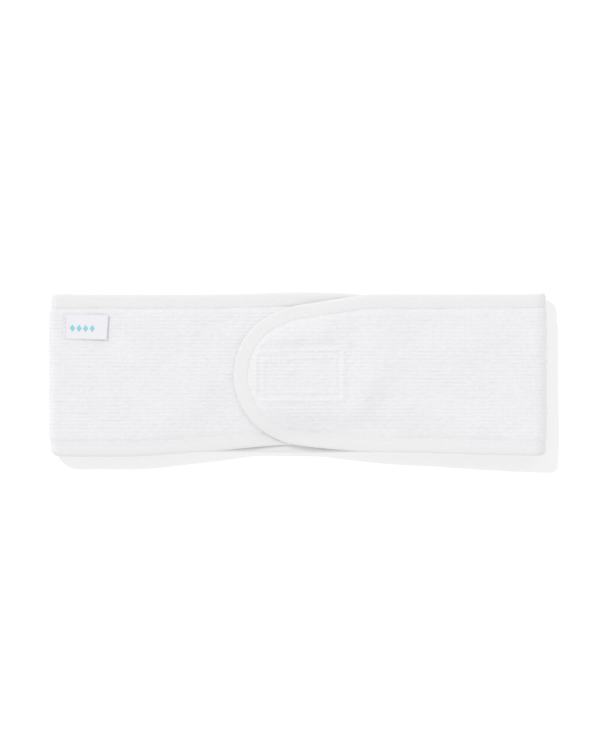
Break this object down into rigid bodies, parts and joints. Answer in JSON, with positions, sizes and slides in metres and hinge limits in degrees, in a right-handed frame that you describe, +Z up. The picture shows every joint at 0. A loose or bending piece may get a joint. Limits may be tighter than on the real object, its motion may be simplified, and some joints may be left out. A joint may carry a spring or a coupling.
{
  "type": "terry headband",
  "caption": "Wide terry cloth headband with bound edges, a rounded hook-and-loop tongue and a small blank label, closed into a loop and laid flat.",
  "frame": {"origin": "middle of the flat closed loop, on the table under the back panel", "axes": "+X along the band towards the fold of the right arm, +Y across the band towards its top edge, +Z up from the table to the tongue"},
  "size_m": [0.245, 0.08, 0.0122],
  "materials": {
    "terry": "white cotton terry, ribbed pile",
    "terry_lining": "white cotton terry, skin side",
    "binding_tape": "white woven tape",
    "thread": "white polyester thread",
    "hook_nylon": "white nylon hook tape",
    "loop_nylon": "white brushed loop tape",
    "label_weave": "white satin woven label with a plain teal motif"
  },
  "bodies": {
    "back_panel": {"back_outer_terry": "terry", "back_lining_terry": "terry_lining", "back_top_tape": "binding_tape", "back_bottom_tape": "binding_tape", "back_tape_thread": "thread"},
    "right_arm": {"right_outer_terry": "terry", "right_lining_terry": "terry_lining", "right_top_tape": "binding_tape", "right_bottom_tape": "binding_tape", "right_tape_thread": "thread"},
    "tongue": {"tongue_outer_terry": "terry", "tongue_lining_terry": "terry_lining", "tongue_tape": "binding_tape", "tongue_tape_thread": "thread", "hook_tape": "hook_nylon", "hook_tape_thread": "thread"},
    "left_arm": {"left_outer_terry": "terry", "left_lining_terry": "terry_lining", "left_tape": "binding_tape", "left_tape_thread": "thread", "loop_tape": "loop_nylon", "loop_tape_thread": "thread", "label_thread": "thread"},
    "label": {"label": "label_weave"}
  },
  "joints": [
    {"name": "right_fold", "type": "hinge", "parent": "back_panel", "child": "right_arm", "pos_m": [0.1225, 0, 0.0061], "axis": [0, 1, 0], "range_deg": [0, 180]},
    {"name": "tongue_peel", "type": "hinge", "parent": "right_arm", "child": "tongue", "pos_m": [0.04, 0, 0.0122], "axis": [0, 1, 0], "range_deg": [0, 120]},
    {"name": "left_fold", "type": "hinge", "parent": "back_panel", "child": "left_arm", "pos_m": [-0.1225, 0, 0.004], "axis": [0, -1, 0], "range_deg": [0, 72]},
    {"name": "label_lift", "type": "hinge", "parent": "left_arm", "child": "label", "pos_m": [-0.115, 0.024, 0.0085], "axis": [0, -1, 0], "range_deg": [0, 120]}
  ],
  "couplings": [
    {"joint": "left_fold", "follows": "right_fold", "ratio": 0.4}
  ]
}
